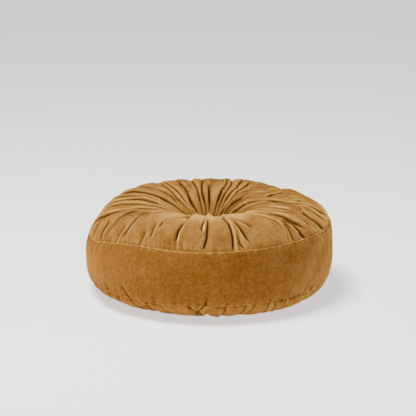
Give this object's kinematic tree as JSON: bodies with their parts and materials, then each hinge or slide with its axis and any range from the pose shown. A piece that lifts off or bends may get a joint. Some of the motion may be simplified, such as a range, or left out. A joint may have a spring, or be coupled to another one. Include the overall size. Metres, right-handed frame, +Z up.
{
  "type": "round cushion",
  "caption": "Round stuffed cushion with a smooth bulging side band, gathered top and bottom panels, and a deep drawn-in centre.",
  "frame": {"origin": "middle of the cushion's box at the level of the surface it lies on", "axes": "+Z up through the drawn-in centre, -Y towards the side that faces the viewer, +X to the viewer's right"},
  "size_m": [0.502, 0.502, 0.1956],
  "materials": {
    "velvet": "short-pile cotton velvet, mustard brown, soft sheen, faint crushed mottling"
  },
  "bodies": {
    "root": {"cushion": "velvet"}
  },
  "joints": []
}
